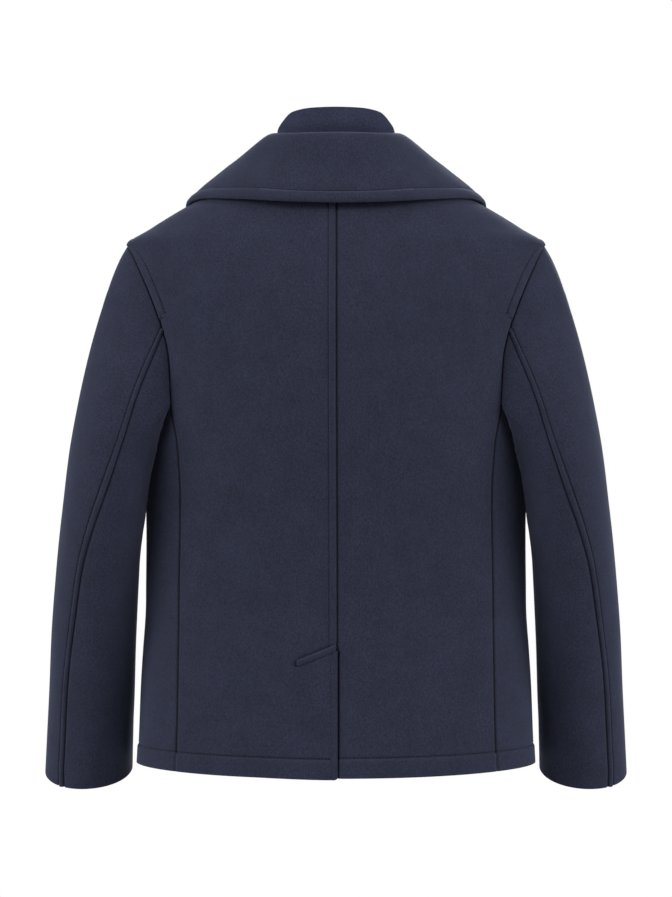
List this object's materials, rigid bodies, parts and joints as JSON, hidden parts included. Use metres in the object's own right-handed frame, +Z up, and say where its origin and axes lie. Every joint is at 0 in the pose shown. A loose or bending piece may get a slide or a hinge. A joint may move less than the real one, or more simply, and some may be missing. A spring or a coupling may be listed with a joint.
{
  "type": "pea coat",
  "caption": "Hip-length double-breasted pea coat, filled out: wide turned-down collar over a standing band, lapels, two-piece sleeves, back vent and slash pockets.",
  "frame": {"origin": "centre of the neck opening, level with the back neck seam, where the wearer's neck and shoulders hold the coat up", "axes": "+X to the wearer's right, +Y forward out of the front, +Z up towards the collar"},
  "size_m": [0.676, 0.2721, 0.7743],
  "materials": {
    "wool_body": "heavy brushed wool melton, dark navy",
    "wool_collar": "heavy brushed wool melton, dark navy",
    "wool_sleeves": "heavy brushed wool melton, dark navy",
    "button_resin": "satin dark navy resin"
  },
  "bodies": {
    "root": {"back_left": "wool_body", "back_right": "wool_body", "button_1_left": "button_resin", "button_1_right": "button_resin", "button_2_left": "button_resin", "button_2_right": "button_resin", "button_3_left": "button_resin", "button_3_right": "button_resin", "collar": "wool_collar", "collar_stand": "wool_collar", "front_left": "wool_body", "front_right": "wool_body", "lapel_left": "wool_collar", "lapel_right": "wool_collar", "pocket_welt_left": "wool_body", "pocket_welt_right": "wool_body", "sleeve_top_left": "wool_sleeves", "sleeve_top_right": "wool_sleeves", "sleeve_under_left": "wool_sleeves", "sleeve_under_right": "wool_sleeves", "vent_bar": "wool_body"}
  },
  "joints": []
}
